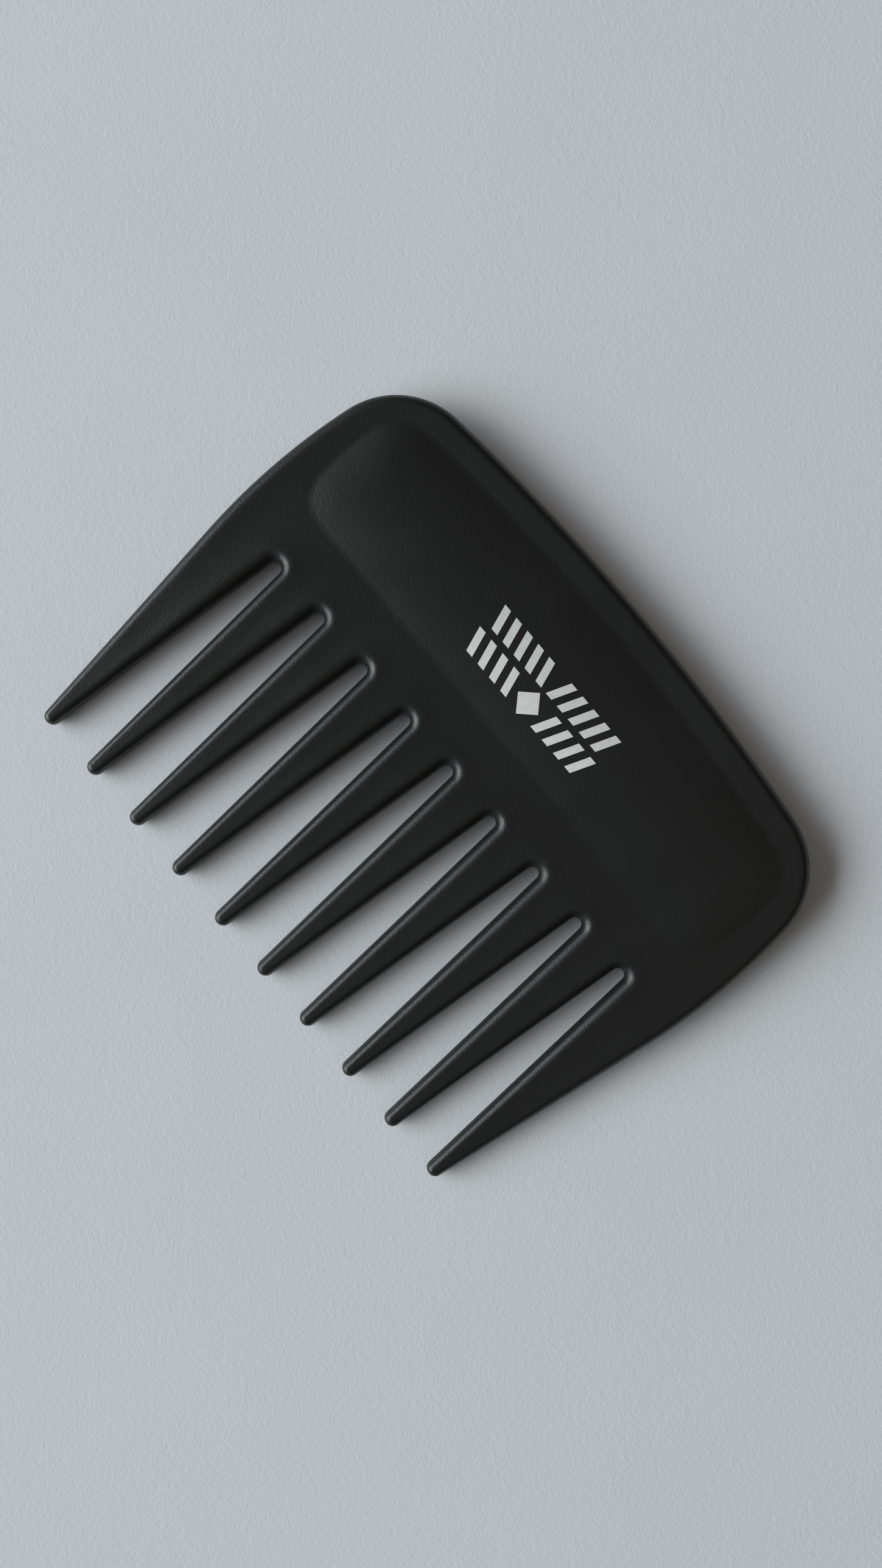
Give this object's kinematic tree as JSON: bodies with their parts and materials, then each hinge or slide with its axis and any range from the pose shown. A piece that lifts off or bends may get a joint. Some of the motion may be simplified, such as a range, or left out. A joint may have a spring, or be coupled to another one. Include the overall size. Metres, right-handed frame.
{
  "type": "beard comb",
  "caption": "Flat moulded beard comb with a bowed spine, wide tapered round-tipped teeth, pillow-shaped grip pads and a printed ornament.",
  "frame": {"origin": "below the middle of the comb on the surface it lies on: the middle of its box in X and Y, and the flat crown of the back pad in Z", "axes": "+X along the spine, +Y from the tooth tips to the spine, +Z out of the printed front face"},
  "size_m": [0.1, 0.076, 0.0055],
  "materials": {
    "moulding": "black, fine spark-eroded grain",
    "ink": "pale grey pad-printed ink, matte"
  },
  "bodies": {
    "root": {"comb_moulding": "moulding", "print_upper_row": "ink", "print_lower_row": "ink", "print_lozenge": "ink"}
  },
  "joints": []
}
